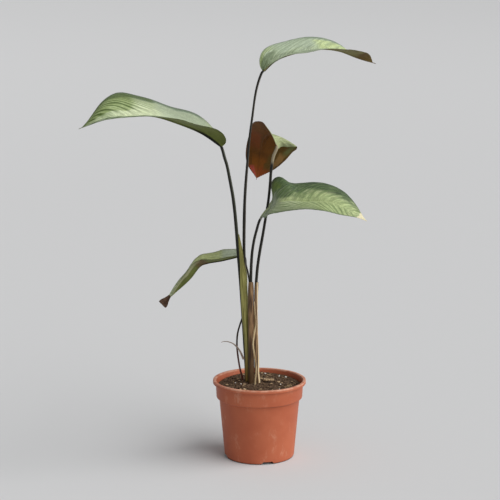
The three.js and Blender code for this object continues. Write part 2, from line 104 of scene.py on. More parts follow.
# Stalks from below the soil's surface to the blade, with the radius at even stations.
STALKS = {
    "left": {
        "points": [[-16.4, 11.7, 95], [-18.8, 9.2, 142], [-21.6, 7.7, 188], [-23.5, 7.2, 217],
                   [-25.3, 6.5, 242], [-27.5, 6, 269], [-29.8, 5, 300], [-31.9, 4.5, 323], [-34.1, 4, 340],
                   [-36.3, 3.5, 352.5], [-38.6, 3.2, 365], [-41.3, 2.9, 378], [-44.3, 2.5, 388],
                   [-47.2, 2.2, 398.6]],
        "radii": [2.1, 2.1, 2.15, 2.15, 2.05, 1.75],
    },
    "top": {
        "points": [[-11.7, 12.3, 95], [-13.4, 9.8, 142], [-17, 8.2, 188], [-18.5, 7.8, 217],
                   [-19.3, 7.2, 249], [-19.8, 7, 273], [-19.6, 7, 300], [-18.9, 7, 330], [-17.7, 7, 352],
                   [-16, 7, 374], [-13, 7, 410], [-9, 7, 440.5], [-5.6, 7, 465.5], [-2.9, 7.2, 478],
                   [0.6, 7.5, 489], [3.2, 7.8, 494.6]],
        "radii": [1.9, 1.9, 1.9, 1.9, 1.95, 1.6, 1.35, 1.5],
    },
    "back": {
        "points": [[-1.8, 3, 95], [-3.2, 3, 110], [-3.6, 3, 128], [-4.5, 3, 145], [-5.3, 3, 178],
                   [-5.1, 3.1, 205], [-4.1, 3.5, 229], [-2.3, 3.7, 249], [0.6, 4, 269], [4, 4.8, 288],
                   [8, 6.4, 312], [11, 7.6, 331], [12.3, 6.8, 343], [13.4, 4.8, 356], [14.6, 2.4, 372],
                   [17.5, 0, 390], [21.6, -0.6, 400.2]],
        "radii": [1.8, 1.8, 1.85, 1.85, 1.75, 1.65, 1.9],
    },
    "right": {
        "points": [[-10.3, 2.5, 95], [-10.6, 2, 145], [-11, 1.5, 192], [-11.1, 0.6, 224],
                   [-10.6, -0.6, 250], [-9.3, -2.2, 268], [-7.1, -3.8, 282.7], [-3.8, -5.6, 296.5],
                   [0.4, -7.4, 310]],
        "radii": [1.85, 1.85, 1.85, 1.8, 1.45],
    },
    "low": {
        "points": [[-22, 13, 97], [-25.2, 13, 111.6], [-28.3, 13, 132], [-29.1, 13.2, 145],
                   [-28.2, 13.8, 158], [-25, 14.6, 170], [-18.6, 15.2, 188], [-14.7, 15.5, 202],
                   [-12.6, 17.3, 220], [-14.7, 19.5, 237], [-17.3, 20.5, 247], [-18.6, 21.5, 257]],
        "radii": [1.1, 1.1, 1.05, 1.05, 1.05],
    },
}

# Sheaths round the stalks, from one angle to another, with values at even stations from the foot.
SHEATHS = {
    "green": {
        "points": [[-13.8, 12, 95], [-15.5, 9.5, 142], [-18.9, 8, 188], [-20.6, 7.3, 217], [-21, 7.3, 233],
                   [-22.1, 7.9, 252], [-23.9, 7.6, 270], [-25.2, 7.4, 280], [-26.4, 7.2, 290]],
        "radii": [5.1] * 8 + [5.2, 5.4, 5.3, 5, 5],
        "from": [-145, -145, -145, -142, -141, -140, -140, -139, -138, -136, -124, -116, -96],
        "to": [80] * 8 + [70, 15, -57, -64, -84],
    },
    "brown": {
        "points": [[-10.4, 2.5, 95], [-10.6, 2, 145], [-11, 1.5, 192], [-11, 0.8, 217], [-11, 0.4, 229]],
        "radii": [3.8] * 7 + [3.6],
        "from": [-215] * 6 + [-213, -150],
        "to": [35] * 6 + [33, -35],
    },
    "straw": {
        "points": [[-1.8, 3, 95], [-3.3, 3, 110], [-3.6, 3, 128], [-4.6, 3, 145], [-5.4, 3, 178],
                   [-5.2, 3.1, 205], [-4.2, 3.5, 228]],
        "radii": [3.1, 3, 3, 3.1, 3.3, 3.4, 3.4, 3.3, 3.1, 3.05, 3.1],
        "from": [-160, -160, -160, -158, -155, -130, -122, -118, -118, -118, -100],
        "to": [120, 120, 120, 130, 140, 150, 150, 150, 130, 70, -20],
    },
    "strip": {
        "points": [[-5.7, -2.6, 93.5], [-4.3, -1.8, 118], [-6.6, -4.2, 134], [-8.2, -4.8, 149],
                   [-6.5, -3.8, 163], [-4.5, -1.9, 176], [-5.8, -2.6, 190], [-6.5, -3.4, 204]],
        "radii": [1.5, 1.3, 1.2, 1.2, 1.1, 1],
        "from": [-150, -160, -150, -150, -160, -130],
        "to": [-20, -30, -30, -20, -40, -60],
    },
}

SLIVER = {
    "rib": [[-20.3, 5.2, 125.8], [-26, 3, 138.9], [-32.5, 0.5, 146.8], [-38.9, -1.2, 150.4],
            [-45.4, -2.4, 151.4], [-49, -3, 150.4]],
    "outline": (0, 0.05, 0.05, 0.9, 0.02),
    "left": half_blade(0.6, [60, 70, 80], [10, 20, 30], [1, 1]),
    "right": half_blade(0.6, [-60, -70, -75], [-10, 10, 10], [1, 1]),
}

# The number of pleats on each half of a blade, each along a side vein.
PLEATS = 11
# Where stalks and sheaths start, inside the soil.
STALK_FOOT = 60
POT = {"height": 101, "lip": 60, "lip_depth": 4.4, "collar": 56.4, "collar_bottom": 79,
       "body": 51.9, "foot": 45.2, "wall": 1.5, "underside": 3.6, "floor": 5.4}
NOTCH_DEGREES = -76.5
# The radius of a drain hole, and how far the outer and the inner holes are from the middle.
DRAIN = (3.5, 36, 21)
SOIL_LEVEL = 93
SOIL_TILT = 0.07
SOIL_RADIUS = 54
# The middle, height and reach of the mound at the stalks, then the middles of the chip and some grains.
CLUMP = (-9, 6, 2.2, 15)
BARK_CHIP = (11.5, 10)
PERLITE = [(-31, 5), (27, 2), (26, 33), (35, 32), (8, 45)]


def smooth_path(points, count):
    """A centripetal Catmull-Rom curve through points in mm, its ends drawn on past the last points,
    as count points at even steps of its length, in metres."""
    knots = np.asarray(points, float) * MM
    knots = np.vstack([2 * knots[0] - knots[1], knots, 2 * knots[-1] - knots[-2]])
    before, start, end, after = knots[:-3], knots[1:-2], knots[2:-1], knots[3:]

    def span(p, q):
        return np.sqrt(np.linalg.norm(q - p, axis=1))[:, None]

    first, middle, last = span(before, start), span(start, end), span(end, after)
    leave = ((start - before) / first - (end - before) / (first + middle) + (end - start) / middle) * middle
    arrive = ((end - start) / middle - (after - start) / (middle + last) + (after - end) / last) * middle
    u = np.linspace(0, 1, 48, endpoint=False)[None, :, None]
    square = (-3 * start + 3 * end - 2 * leave - arrive)[:, None]
    cubic = (2 * start - 2 * end + leave + arrive)[:, None]
    fine = start[:, None] + leave[:, None] * u + square * u ** 2 + cubic * u ** 3
    fine = np.vstack([fine.reshape(-1, 3), knots[-2]])
    length = np.r_[0, np.cumsum(np.linalg.norm(np.diff(fine, axis=0), axis=1))]
    steps = np.linspace(0, length[-1], count)
    return np.stack([np.interp(steps, length, fine[:, k]) for k in range(3)], -1)


def along(values, t):
    """A Catmull-Rom curve through evenly spaced values, read at t from 0 to 1."""
    v = np.asarray(values, float)
    v = np.r_[2 * v[0] - v[1], v, 2 * v[-1] - v[-2]]
    x = np.asarray(t) * (len(v) - 3)
    k = np.minimum(x.astype(int), len(v) - 4)
    f = x - k
    a, b, c, d = v[k], v[k + 1], v[k + 2], v[k + 3]
    bend = 2 * a - 5 * b + 4 * c - d
    return 0.5 * (2 * b + (c - a) * f + bend * f ** 2 + (3 * b - a - 3 * c + d) * f ** 3)


def unit(vectors):
    return vectors / np.maximum(np.linalg.norm(vectors, axis=-1, keepdims=True), 1e-12)


def grid_normals(grid):
    """The direction across the columns times the direction along the rows, at every point."""
    return unit(np.cross(np.gradient(grid, axis=1), np.gradient(grid, axis=0)))


def ripple(points, size, seed, waves=7):
    """Smooth noise from -1 to 1: the mean of sine waves of about one size, in random directions."""
    draw = np.random.default_rng(seed)
    ways = unit(draw.normal(size=(waves, points.shape[-1]))) * draw.uniform(0.7, 1.5, (waves, 1))
    turns = draw.uniform(0, 2 * np.pi, waves)
    return np.sin(points @ ways.T * (2 * np.pi / size) + turns).mean(-1) * 1.6


def together(*numbers):
    """Numbers side by side on a last axis, each repeated as the others' shapes need."""
    return np.stack(np.broadcast_arrays(*numbers), -1)


def full_turn(sides):
    """Even angles once round, without the last, which is the first again."""
    return np.linspace(0, 2 * np.pi, sides, endpoint=False)


def ring(radius, turn, height):
    """Points round the Z axis: radius cos turn, radius sin turn, height."""
    return together(radius * np.cos(turn), radius * np.sin(turn), height)


def sheet_faces(rows, columns, closed=False):
    """Four-sided faces over a grid of rows by columns points; closed joins the last column to the first."""
    i = np.arange(rows - 1)[:, None] * columns
    j = np.arange(columns if closed else columns - 1)[None, :]
    k = (j + 1) % columns
    return together(i + j, i + k, i + columns + k, i + columns + j).reshape(-1, 4)


def slab(upper, lower):
    """Points and faces of a closed sheet between two grids, and which faces belong to the underside."""
    rows, columns = upper.shape[:2]
    points = np.vstack([upper.reshape(-1, 3), lower.reshape(-1, 3)])
    top = sheet_faces(rows, columns)
    count = rows * columns
    under = top[:, ::-1] + count
    row, column = np.arange(rows), np.arange(columns)
    loop = np.r_[column[:-1], row[:-1] * columns + columns - 1,
                 (rows - 1) * columns + column[:0:-1], row[:0:-1] * columns]
    after = np.roll(loop, -1)
    rim = together(loop, loop + count, after + count, after)
    below = np.r_[np.zeros(len(top), int), np.ones(len(under) + len(rim), int)]
    return points, np.vstack([top, under, rim]), below


def loft(rings):
    """Points and faces of a closed solid through rings of points, with a fan over each end."""
    rows, sides = rings.shape[:2]
    points = np.vstack([rings.reshape(-1, 3), rings[0].mean(0), rings[-1].mean(0)])
    faces = sheet_faces(rows, sides, closed=True).tolist()
    k = np.arange(sides)
    after = (k + 1) % sides
    foot, top = rows * sides, (rows - 1) * sides
    faces += together(foot, after, k).tolist() + together(foot + 1, top + k, top + after).tolist()
    return points, faces


def joined(solids):
    """Many solids, each its points and faces, as one."""
    points, faces, count = [], [], 0
    for part, part_faces in solids:
        points.append(part)
        faces += [[k + count for k in face] for face in part_faces]
        count += len(part)
    return np.vstack(points), faces


def new_mesh(name, points, faces):
    """A mesh of these points and faces."""
    mesh = bpy.data.meshes.new(name)
    mesh.from_pydata(np.asarray(points).tolist(), [], [list(face) for face in faces])
    return mesh


def new_object(name, data):
    """An object in the scene for a mesh, lamp or lens."""
    made = bpy.data.objects.new(name, data)
    bpy.context.scene.collection.objects.link(made)
    return made


def new_piece(name, points, faces, finishes, node=None, finish_of_face=None, attribute=None):
    """A mesh object in place, riding on the plant's one body. The attribute is a name and three
    numbers for each point."""
    mesh = new_mesh(name, points, faces)
    for finish in finishes:
        mesh.materials.append(finish)
    if finish_of_face is not None:
        mesh.polygons.foreach_set("material_index", np.asarray(finish_of_face, np.int32))
    if attribute:
        made = mesh.attributes.new(attribute[0], "FLOAT_VECTOR", "POINT")
        made.data.foreach_set("vector", np.asarray(attribute[1], np.float32).ravel())
    mesh.shade_smooth()
    mesh.update()
    piece = new_object(name, mesh)
    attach(piece, "root")
    if node:
        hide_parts(node)
    return piece


class Finish:
    """One material. Most methods add a node and give its output, to be used in the next one."""

    def __init__(self, name, roughness=0.5, specular=0.25):
        self.material = bpy.data.materials.new(name)
        self.material.use_nodes = True
        self.tree = self.material.node_tree
        self.shader = self.tree.nodes["Principled BSDF"]
        self.set(self.shader, "Roughness", roughness)
        self.set(self.shader, "Specular IOR Level", specular)

    def set(self, node, socket, value):
        target = node.inputs[socket]
        if isinstance(value, bpy.types.NodeSocket):
            self.tree.links.new(value, target)
        elif isinstance(value, str):
            target.default_value = colour(value)
        else:
            target.default_value = value

    def node(self, kind, values=(), **settings):
        """The outputs of a new node."""
        made = self.tree.nodes.new("ShaderNode" + kind)
        for key, value in settings.items():
            setattr(made, key, value)
        for socket, value in dict(values).items():
            self.set(made, socket, value)
        return made.outputs

    def place(self):
        return self.node("TexCoord")["Object"]

    def attribute(self, name):
        """The three numbers of a piece's own attribute."""
        vector = self.node("Attribute", attribute_name=name)["Vector"]
        parts = self.node("SeparateXYZ", {"Vector": vector})
        return parts["X"], parts["Y"], parts["Z"]

    def stretch(self, vector, scale):
        return self.node("Mapping", {"Vector": vector, "Scale": scale})["Vector"]

    def height(self):
        return self.node("SeparateXYZ", {"Vector": self.place()})["Z"]

    def noise(self, scale, vector, detail=3, roughness=0.55):
        values = {"Scale": scale, "Detail": detail, "Roughness": roughness, "Vector": vector}
        return self.node("TexNoise", values)["Fac"]

    def streaks(self, a, a_scale, b, b_scale, detail=3, roughness=0.55, z=0):
        """Noise with a scale of its own along each of two values."""
        spot = {"X": self.times(a, a_scale), "Y": self.times(b, b_scale), "Z": z}
        return self.noise(1, self.node("CombineXYZ", spot)["Vector"], detail, roughness)

    def calc(self, operation, a, b=0):
        return self.node("Math", {0: a, 1: b}, operation=operation)[0]

    def times(self, a, b):
        return self.calc("MULTIPLY", a, b)

    def plus(self, a, b):
        return self.calc("ADD", a, b)

    def lines(self, value, count):
        """The sine of count turns for each 1 of the value."""
        return self.calc("SINE", self.times(value, 2 * math.pi * count))

    def step(self, value, low, high, start=0, end=1):
        """start below low, end above high, and a smooth change between."""
        values = {"Value": value, "From Min": low, "From Max": high, "To Min": start, "To Max": end}
        return self.node("MapRange", values, interpolation_type="SMOOTHSTEP")["Result"]

    def window(self, value, low, high, soft):
        """1 from low to high, falling to 0 over soft outside them."""
        rise = self.step(value, low - soft, low)
        return self.times(rise, self.step(value, high, high + soft, 1, 0))

    def dim(self, shade, factor):
        return self.node("VectorMath", {0: shade, "Scale": factor}, operation="SCALE")["Vector"]

    def blend(self, share, a, b):
        return self.node("Mix", {0: share, 6: a, 7: b}, data_type="RGBA")[2]

    def ramp(self, value, low, high, a, b, start=0, end=1):
        """From colour a to colour b, whose share goes from start below low to end above high."""
        return self.blend(self.step(value, low, high, start, end), a, b)

    def bump(self, height, distance, strength):
        values = {"Height": height, "Distance": distance, "Strength": strength}
        return self.node("Bump", values)["Normal"]

    def done(self, colour_output, normal=None, roughness=None):
        """The finished material."""
        self.set(self.shader, "Base Color", colour_output)
        if normal is not None:
            self.set(self.shader, "Normal", normal)
        if roughness is not None:
            self.set(self.shader, "Roughness", roughness)
        return self.material


def colour(text):
    """A colour written as six hex digits, as the linear values that Blender works in."""
    parts = np.array([int(text[k:k + 2], 16) for k in (0, 2, 4)]) / 255
    linear = np.where(parts <= 0.04045, parts / 12.92, ((parts + 0.055) / 1.055) ** 2.4)
    return (*linear.tolist(), 1)


def leaf_patches(f, base, patches, t, across, shift, t_shift):
    """Patches of colour, each (colour, strength, t from, t to, a from, a to, softness). Their edges
    wander with shift, by t_shift along the leaf."""
    t, across = f.plus(t, f.times(shift, t_shift)), f.plus(across, f.times(shift, 0.4))
    for tone, strength, t_low, t_high, a_low, a_high, soft in patches:
        inside = f.times(f.window(t, t_low, t_high, soft), f.window(across, a_low, a_high, soft))
        base = f.blend(f.times(inside, strength), base, tone)
    return base


def dried_tip(f, face, t, streaks, colours, start):
    """The face with a streaky dried tip from start on."""
    return f.ramp(t, start, start + 0.012, face, f.ramp(streaks, 0.4, 0.6, *colours))


def upper_face(name, pale, glow, stripe, edge, veins, bold, patches=(), rim=0.5, dry=None):
    """The striped upper side of a leaf. Its attribute gives t along the rib, a across it, signed, and
    s, the t at which the side vein through the point leaves the rib. Broad stripes and fine streaks
    follow the veins. bold is where the stripes' strength changes and how strong they are before and
    after, rim is how strong the edge colour is, and dry is two colours and where a dried tip starts."""
    f = Finish(name)
    t, across, vein = f.attribute("leaf")
    a = f.calc("ABSOLUTE", across)
    place = f.place()
    cloud = f.noise(42, place)
    fine = f.noise(320, place, 2)
    broad = f.streaks(vein, 13, across, 1.3)
    streaks = f.streaks(vein, 70, across, 3, 5, 0.65)
    threads = f.streaks(vein, 210, across, 7, 3, 0.6)
    shift = f.plus(cloud, -0.5)
    base = f.ramp(broad, 0.38, 0.62, pale, glow)
    base = leaf_patches(f, base, patches, t, across, shift, 0.12)
    base = f.ramp(streaks, 0.52, 0.62, base, pale, end=0.5)
    wave = f.calc("SINE", f.plus(f.times(vein, 2 * math.pi * veins), f.times(broad, 9)))
    wave = f.plus(wave, f.times(f.plus(streaks, -0.5), 3.4))
    share = f.times(f.step(wave, -0.3, 1), f.step(a, 0.04, 0.4, 0.25, 1))
    striped = f.blend(f.times(share, f.step(t, *bold)), base, stripe)
    tone = f.times(f.step(streaks, 0.36, 0.62, 0.7, 1.12), f.step(threads, 0.36, 0.62, 0.86, 1.08))
    striped = f.dim(striped, f.times(tone, f.step(fine, 0.35, 0.65, 0.93, 1.05)))
    face = f.ramp(a, 0.8, 1, striped, edge, end=rim)
    face = f.ramp(a, 0.965, 0.985, face, edge, end=0.8)
    face = f.ramp(a, 0.01, 0.025, face, glow, 0.6, 0)
    if dry:
        face = dried_tip(f, face, f.plus(t, f.times(shift, 0.08)), streaks, *dry)
    height = f.plus(f.times(f.lines(vein, veins * 6), 0.5), f.times(fine, 0.6))
    return f.done(face, f.bump(height, 0.0002, 0.6), f.step(cloud, 0.3, 0.7, 0.4, 0.55))


def under_face(name, body, light, dark, rib, patches=(), dry=None):
    """The underside of a leaf: body colour with streaks along the side veins, darker at the margin.
    rib is the colour of the midrib and where it fades. dry is as on the upper side."""
    f = Finish(name, roughness=0.55, specular=0.15)
    t, across, vein = f.attribute("leaf")
    a = f.calc("ABSOLUTE", across)
    cloud = f.noise(45, f.place(), 4)
    shift = f.plus(cloud, -0.5)
    streaks = f.streaks(vein, 34, across, 2.4, 4, 0.6)
    base = f.ramp(cloud, 0.35, 0.7, body, dark, end=0.6)
    base = leaf_patches(f, base, patches, t, across, shift, 0.2)
    base = f.ramp(streaks, 0.5, 0.75, base, light, end=0.4)
    lines = f.lines(vein, PLEATS * 5)
    base = f.ramp(lines, 0.2, 1, base, dark, end=0.18)
    base = f.ramp(a, 0.9, 0.985, base, dark, end=0.7)
    near = f.times(f.step(a, 0.05, 0.14, 1, 0), f.step(t, rib[1], rib[1] + 0.25, 1, 0.25))
    face = f.blend(near, base, rib[0])
    if dry:
        face = dried_tip(f, face, f.plus(t, f.times(shift, 0.06)), streaks, *dry)
    return f.done(face, f.bump(lines, 0.00015, 0.6))


# The upper side of each leaf, then its underside, as upper_face and under_face take them.
LEAF_LOOKS = {
    "left": (
        {"pale": "aab88e", "glow": "c8d2aa", "stripe": "40551c", "edge": "4f5c47", "veins": 12,
         "bold": (0.42, 0.66, 0.15, 0.95), "rim": 0.35,
         "patches": [
            ("adb8a0", 0.8, 0.16, 0.42, 0.1, 0.8, 0.1), ("6b7c6d", 0.85, 0.2, 0.62, 0.86, 1.2, 0.1),
            ("ccd5ae", 0.8, 0.5, 0.66, 0, 0.3, 0.12), ("7f9150", 0.8, 0.66, 0.92, 0.25, 0.95, 0.1),
            ("58683f", 0.85, 0.52, 0.95, 0.88, 1.2, 0.06), ("6b7a48", 0.7, 0.93, 1.1, -1.2, 1.2, 0.06),
            ("8f9c86", 0.7, 0.5, 1.1, -1.2, -0.1, 0.1)]},
        {"body": "6c7437", "light": "858c4c", "dark": "4b5526", "rib": ("12140a", 0.12)}),
    "top": (
        {"pale": "aab79c", "glow": "b5c29f", "stripe": "788a6b", "edge": "7d8a7b", "veins": 12,
         "bold": (0.1, 0.3, 0.6, 0.4), "rim": 0.3,
         "patches": [
            ("53622c", 0.9, -0.1, 0.07, -1.2, 1.2, 0.07), ("566442", 0.7, 0.04, 0.15, -0.6, -0.1, 0.06),
            ("9aa866", 0.6, 0.02, 0.14, -1.2, -0.75, 0.06), ("6c7a5c", 0.5, 0.14, 0.3, -0.15, 0.2, 0.08),
            ("b4c2a8", 0.7, 0.25, 0.46, -1, -0.3, 0.1), ("c3d196", 0.95, 0.52, 0.76, -0.72, -0.05, 0.08),
            ("707f6c", 0.7, 0.44, 0.72, -0.97, -0.86, 0.04)]},
        {"body": "807a48", "light": "96905e", "dark": "5a5430", "rib": ("1f1d10", 0.1),
         "patches": [
            ("5a4316", 0.9, 0.86, 1.1, -1.2, 1.2, 0.1)]}),
    "back": (
        {"pale": "a1aa80", "glow": "b3bb8c", "stripe": "848e58", "edge": "8f986c", "veins": 10,
         "bold": (0.2, 0.6, 0.4, 0.5)},
        {"body": "6e4310", "light": "7d5013", "dark": "523009", "rib": ("523009", -0.3),
         "patches": [
            ("7c3a16", 0.6, 0.5, 0.58, -0.9, -0.2, 0.1), ("8f5316", 0.6, 0.76, 0.9, -0.5, 0.3, 0.08),
            ("8a4018", 0.8, 0.9, 1.1, -1.2, 1.2, 0.1), ("a4463a", 0.9, 0.86, 0.94, -0.85, -0.4, 0.04),
            ("5c4a1c", 0.8, 0.1, 0.8, 0.42, 1.2, 0.12), ("6b7043", 0.9, 0.1, 0.5, 0.82, 1.2, 0.12),
            ("9c7845", 0.8, 0.62, 0.74, 0.72, 0.88, 0.08)]}),
    "right": (
        {"pale": "a9b685", "glow": "b7c38d", "stripe": "587040", "edge": "46583c", "veins": 16,
         "bold": (0.2, 0.5, 0.9, 0.6), "rim": 0.5, "dry": (("d9cda0", "e6dfc0"), 0.915),
         "patches": [
            ("3d5034", 0.95, 0.24, 0.7, -1.2, -0.62, 0.3), ("4a5e40", 0.85, 0.24, 0.46, -0.9, -0.2, 0.12),
            ("75883a", 0.9, 0.1, 0.26, -1.2, -0.55, 0.06), ("c3cb9c", 0.85, 0, 0.155, -1.2, -0.3, 0.03),
            ("36472c", 0.9, 0.28, 0.8, -1.2, -0.9, 0.06), ("a9b49a", 0.9, -0.1, 0.2, -0.45, 1.2, 0.06),
            ("bdc7a2", 0.7, 0.18, 0.5, 0.1, 1.2, 0.1), ("aabb80", 0.6, 0.45, 0.8, -0.3, 0.8, 0.1)]},
        {"body": "5d6b3a", "light": "7a8850", "dark": "303a1c", "rib": ("3a4420", 0.3),
         "dry": (("c4b682", "d8cfa6"), 0.915)}),
    "low": (
        {"pale": "c6d0b4", "glow": "ced7a6", "stripe": "929f70", "edge": "7f8868", "veins": 14,
         "bold": (0.1, 0.3, 0.25, 0.5), "dry": (("3f2b1f", "5e4430"), 0.88),
         "patches": [
            ("cad5be", 0.8, -0.1, 0.22, -1.2, 1.2, 0.1), ("d2da92", 0.85, 0.27, 0.46, -1.2, 1.2, 0.08)]},
        {"body": "6c743a", "light": "81884c", "dark": "565e32", "rib": ("1c1d0e", 0.3),
         "patches": [
            ("6b5238", 0.85, 0.38, 0.45, -1.2, 1.2, 0.04), ("a8a984", 0.8, 0.5, 0.86, 0.66, 1.2, 0.1),
            ("a8a984", 0.8, 0.5, 0.86, -1.2, -0.66, 0.1)],
         "dry": (("3a271b", "5a422d"), 0.88)}),
}

# How far the side veins of each half reach on to the tip, and how they bend: left half, right half.
VEINS = {"left": ((0.4, 1.2), (0.8, 1.2)), "right": ((0.48, 1), (0.42, 1.15))}
PLAIN_VEINS = ((0.36, 1.25), (0.36, 1.25))


def outline_at(outline, t):
    """The share of the full half-width at t: a quarter circle at the base, then full, then a fall
    of the given power to the tip."""
    start, base, taper, power, tail = outline
    s = np.clip((t - start) / (1 - start), 0, 1)
    rise = np.sqrt(1 - (1 - np.clip(s / base, 0, 1)) ** 2)
    return rise * (1 - np.clip((s - taper) / (1 - tail - taper), 0, 1) ** power)


def blade_surface(leaf, rows, columns, rib_width=(1.3, 0.35), ripples=0):
    """The upper surface of a blade as a grid, t along the rib for its rows, a across it, signed, for
    its columns, and the width of each point's half. A half's cross-section is an arc that starts at
    the angle raise and turns by curl: sideways (sin(raise + curl a) - sin raise) / curl, and up the
    same with cosines. The margin waves up and down by ripples, in mm."""
    t = np.linspace(0, 1, rows)
    rib = smooth_path(leaf["rib"], rows)
    direction = unit(np.gradient(rib, axis=0))
    right = unit(np.cross(direction, [0, 0, 1]))
    lift = np.cross(right, direction)
    narrow = rib_width[0] * (1 - t) + rib_width[1] * t
    if "flare" in leaf:
        start, most, turn = leaf["flare"]
        narrow = narrow + most * np.sin(np.pi * turn * np.clip((t - start) / (1 - start), 0, 1) ** 1.3)
    a = np.linspace(0, 1, columns) ** 1.6

    def half(side, sign):
        width = side["width"] * outline_at(side.get("outline", leaf["outline"]), t) * along(side["shape"], t)
        if "neck" in side:
            slope, end = side["neck"]
            width = np.maximum(width, np.where(t < end, slope * t, 0))
        width = ((width + narrow) * MM)[:, None]
        angles = [side["raise"], side["curl"], side.get("sweep", [0, 0])]
        start, turn, sweep = [np.radians(along(values, t))[:, None] for values in angles]
        turn = turn + 1e-6
        out = (np.sin(start + turn * a) - np.sin(start)) / turn * width * np.cos(sweep) * sign
        up = (np.cos(start) - np.cos(start + turn * a)) / turn * width * np.cos(sweep)
        wave = ripples * MM * a ** 2 * np.sin(2 * np.pi * (4 * t[:, None] + 0.3 * sign))
        up = up + wave * np.minimum(width / (side["width"] * MM), 1)
        on = width * a * np.sin(sweep)
        place = rib[:, None] + out[..., None] * right[:, None] + up[..., None] * lift[:, None]
        return place + on[..., None] * direction[:, None], np.broadcast_to(width, place.shape[:2])

    halves = zip(half(leaf["left"], -1), half(leaf["right"], 1))
    grid, width = [np.concatenate([left[:, ::-1], right[:, 1:]], axis=1) for left, right in halves]
    return grid, t[:, None], np.r_[-a[::-1], a[1:]], width


def side_vein(label, t, across):
    """Where along the rib the side vein through a point starts. A vein that starts at s reaches
    t = s + reach (1 - s) |a|^bend, so veins run to the tip and crowd there."""
    left, right = VEINS.get(label, PLAIN_VEINS)
    reach = np.where(across < 0, left[0], right[0])
    spread = reach * np.abs(across) ** np.where(across < 0, left[1], right[1])
    return (t - spread) / (1 - spread)


def leaf_blade(label, rows=190, columns=38, thickness=0.42, keel=1.9, pleat=0.07, furrow=0.45):
    """A blade: the upper surface with a groove over the rib and low pleats along the side veins, and
    an underside that is lower by the thickness, thin at the margin, with a rounded rib."""
    leaf = BLADES[label]
    grid, t, across, width = blade_surface(leaf, rows, columns, ripples=0.5)
    vein = side_vein(label, t, across)
    out = grid_normals(grid)
    reach = np.abs(across) * width / MM
    full = np.clip(width / MM / 8, 0, 1)
    relief = pleat * np.sin(2 * np.pi * PLEATS * vein) * np.clip(reach / 4, 0, 1) * full
    groove = furrow * np.exp(-(reach / 1.1) ** 2) * full
    rib = keel * (1 - 0.8 * t) * np.exp(-(reach / 1.3) ** 2) * full
    body = thickness * (1 - 0.55 * np.abs(across) ** 6)
    upper = grid + out * ((relief - groove) * MM)[..., None]
    lower = grid + out * ((relief * 0.8 - body - rib) * MM)[..., None]
    points, faces, under = slab(upper, lower)
    values = np.tile(together(t, across, vein).reshape(-1, 3), (2, 1))
    name = "leaf_" + label
    upper_look, under_look = LEAF_LOOKS[label]
    finishes = [upper_face(name + "_upper", **upper_look), under_face(name + "_under", **under_look)]
    new_piece(name, points, faces, finishes, "blade_" + label, under, ("leaf", values))


def tube(path, radius, sides):
    """Rings of points round a path: side cos v + other sin v, with side level across the path. The
    radius has a row for each point of the path, and one column or one for each side."""
    direction = unit(np.gradient(path, axis=0))
    side = unit(np.cross([0, 1, 0], direction))
    other = np.cross(direction, side)
    turn = full_turn(sides)[None, :, None]
    around = np.cos(turn) * side[:, None] + np.sin(turn) * other[:, None]
    return path[:, None] + radius[..., None] * around


def stalk_skin(name, body, lit, painted_lit_side, joint, joint_share, foot=None, foot_share=0):
    """Dark stalk skin with lengthwise streaks, a painted highlight: a grey lit side painted on the side to
    +X, where the key light falls, and a joint of another colour below the leaf, over its share of the
    length.
    A foot colour may fade out above its share."""
    f = Finish(name)
    t, turn, facing = f.attribute("stalk")
    streaks = f.streaks(t, 22, turn, 9)
    blotches = f.noise(60, f.place())
    base = f.ramp(streaks, 0.35, 0.7, body, lit)
    base = f.ramp(blotches, 0.5, 0.75, base, body, end=0.5)
    # Painted highlight: the side facing +X, toward the key light, takes the lighter grey of the lit side.
    base = f.ramp(facing, 0.1, 0.8, base, painted_lit_side, end=0.75)
    if foot:
        height = f.plus(t, f.times(blotches, 0.1))
        base = f.ramp(height, foot_share, foot_share + 0.2, base, foot, 1, 0)
    base = f.ramp(t, 1 - joint_share, 1 - joint_share * 0.75, base, joint)
    return f.done(base, f.bump(streaks, 0.0002, 0.5))


# In the order that stalk_skin takes them.
STALK_LOOKS = {
    "left": ("11120c", "23251a", "56594a", "14150d", 0.03),
    "top": ("11110c", "211f18", "5c564c", "191910", 0.03),
    "back": ("13120d", "25221a", "44403a", "93876e", 0.085),
    "right": ("12110d", "24221b", "403c35", "6d6b62", 0.03),
    "low": ("1d1a14", "3a2c24", "3c352b", "3b4426", 0.03, "5a2f28", 0.3),
}


def leaf_stalk(label, rows=260, sides=20, extra=0.15):
    """A stalk: a round tube along its axis, with a shallow flat and slight swellings, that runs on
    under the first part of the midrib and thins out there. It is thicker than the solid by extra."""
    stalk = STALKS[label]
    x, y, _ = stalk["points"][0]
    rib = smooth_path(BLADES[label]["rib"], 80) / MM
    ahead = np.searchsorted(np.linalg.norm(rib - rib[0], axis=1), [2.5, 5.5])
    under = (rib[ahead] - [0, 0, 0.9]).tolist()
    path = smooth_path([[x, y, STALK_FOOT]] + stalk["points"] + under, rows)
    t = np.linspace(0, 1, rows)
    turn = np.linspace(0, 1, sides, endpoint=False)
    to_tip = np.linalg.norm(path - path[-1], axis=1) / MM
    radius = (along(stalk["radii"], t) + extra) * np.clip(0.3 + to_tip / 10, 0, 1)
    radius = radius[:, None] * (1 - 0.05 * np.cos(4 * np.pi * turn)[None])
    radius = radius + 0.05 * ripple(path / MM, 26, 5)[:, None]
    points, faces = loft(tube(path, radius * MM, sides))
    # The third number is how far each point faces +X, the side that the stalk skin paints as lit.
    values = together(t[:, None], np.abs(turn * 2 - 1), np.cos(2 * np.pi * turn)).reshape(-1, 3)
    values = np.vstack([values, [[0, 0, 0], [1, 0, 0]]])
    name = "stalk_" + label
    skin = stalk_skin(name, *STALK_LOOKS[label])
    new_piece(name, points, faces, [skin], "petiole_" + label, attribute=("stalk", values))


